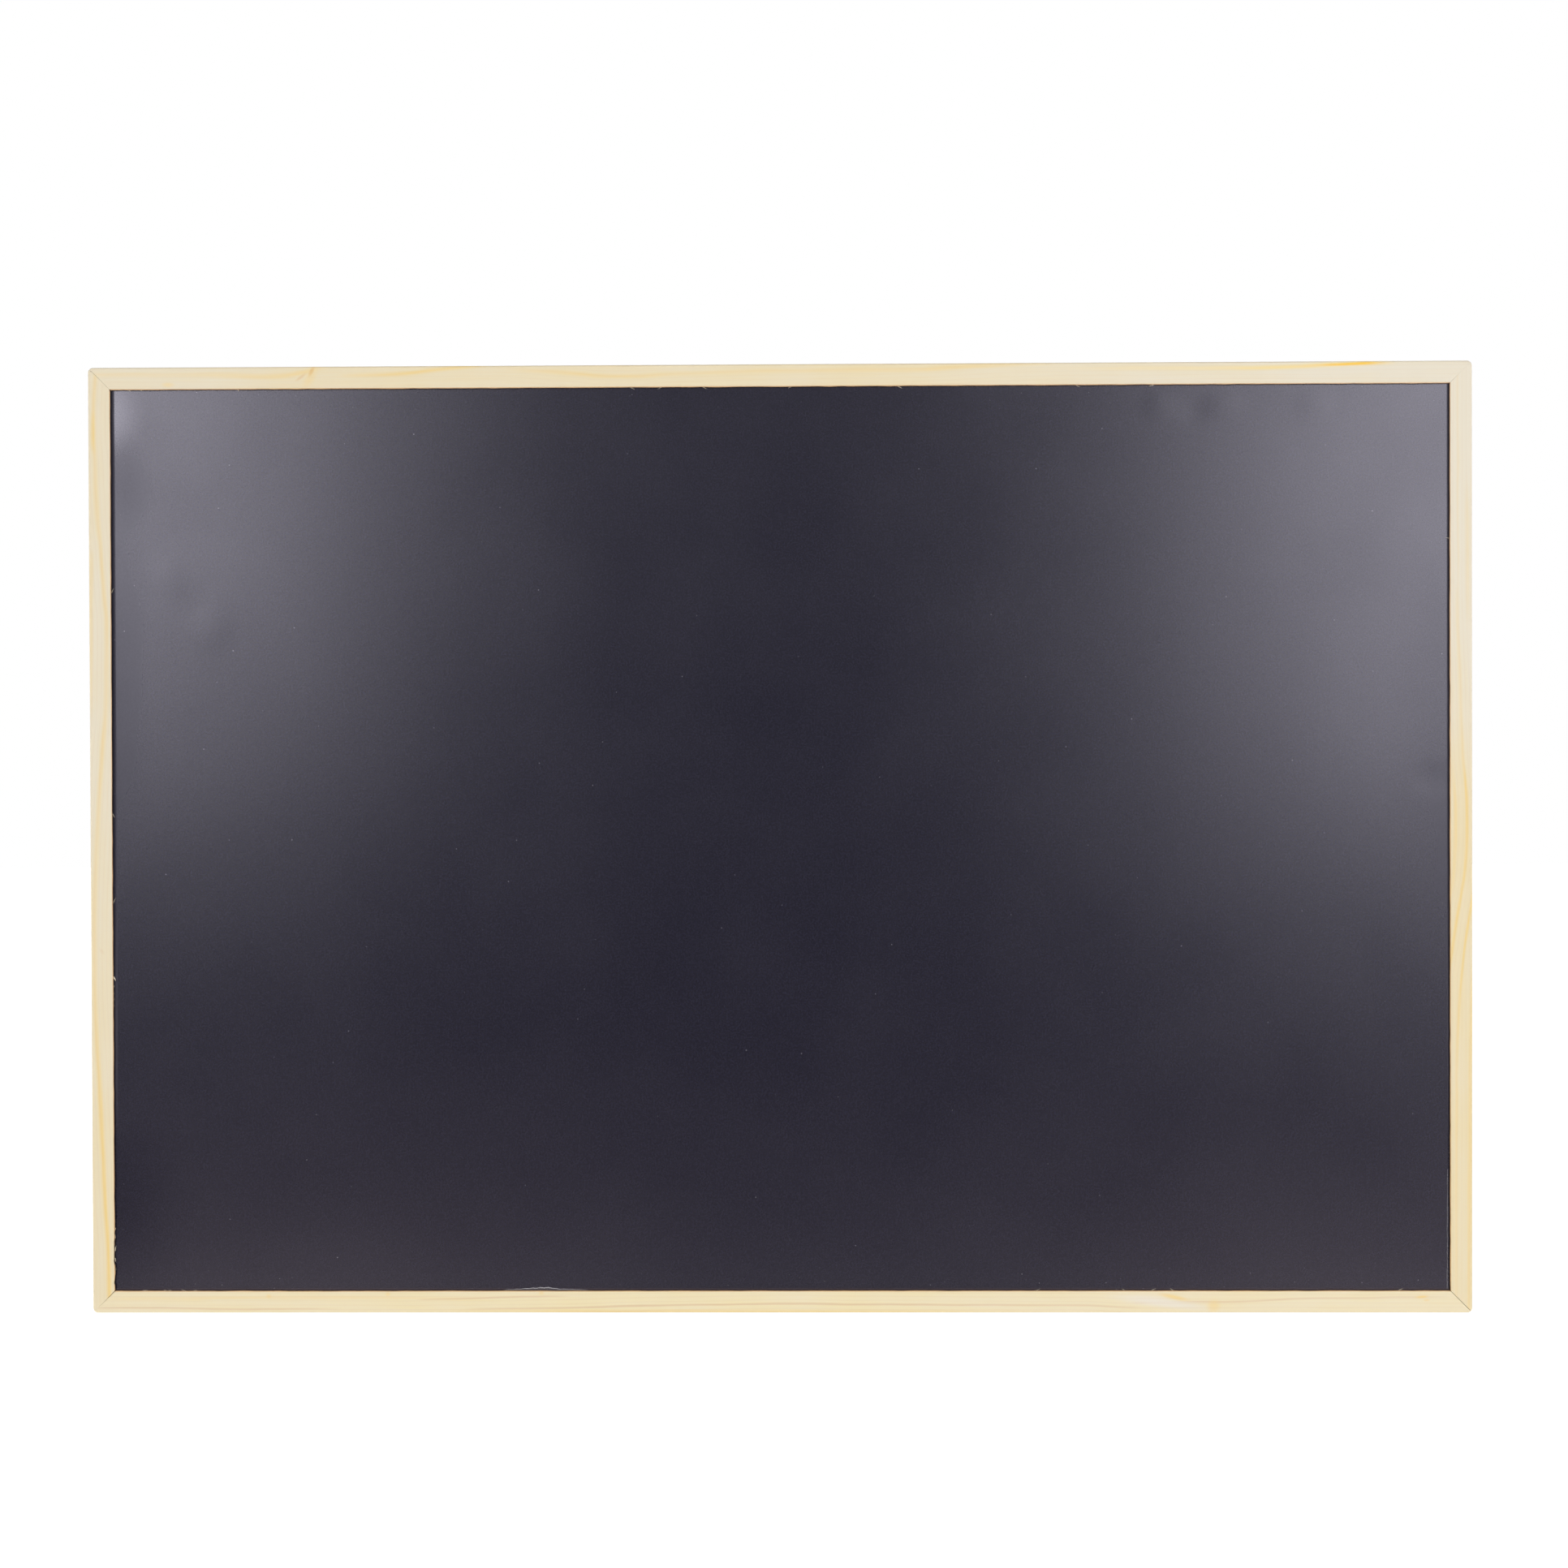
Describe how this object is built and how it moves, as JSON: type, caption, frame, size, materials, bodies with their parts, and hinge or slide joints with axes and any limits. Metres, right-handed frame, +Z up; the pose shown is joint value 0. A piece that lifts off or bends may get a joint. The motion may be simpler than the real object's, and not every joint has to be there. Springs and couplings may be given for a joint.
{
  "type": "wall chalkboard",
  "caption": "Landscape black chalkboard in a slim mitred pine frame with rounded corners, grooved around a film-faced hardboard panel, with hinged ring hangers on its back.",
  "frame": {"origin": "middle of the top rail's back face, where the board meets the wall", "axes": "+X along the width to the right as seen from the front, +Y back into the wall, +Z up; the writing side faces -Y"},
  "size_m": [0.6, 0.0167, 0.4121],
  "materials": {
    "pine": "sanded and left bare, pale cream with yellow resin streaks",
    "hardboard": "pressed brown fibre with a screen texture on the back",
    "chalk_film": "satin black writing film",
    "nail_steel": "bare steel strip",
    "plated_steel": "bright zinc plate"
  },
  "bodies": {
    "board": {"top_rail": "pine", "bottom_rail": "pine", "left_stile": "pine", "right_stile": "pine", "hardboard_core": "hardboard", "chalk_film": "chalk_film", "corner_v_nails": "nail_steel", "left_hanger_strap": "plated_steel", "right_hanger_strap": "plated_steel", "hanger_screws": "plated_steel"},
    "left_ring": {"left_hanger_ring": "plated_steel"},
    "right_ring": {"right_hanger_ring": "plated_steel"}
  },
  "joints": [
    {"name": "left_ring_swing", "type": "hinge", "parent": "board", "child": "left_ring", "pos_m": [-0.29515, 0.0014, -0.07515], "axis": [1, 0, 0], "range_deg": [0, 168]},
    {"name": "right_ring_swing", "type": "hinge", "parent": "board", "child": "right_ring", "pos_m": [0.29515, 0.0014, -0.07515], "axis": [1, 0, 0], "range_deg": [0, 168]}
  ]
}
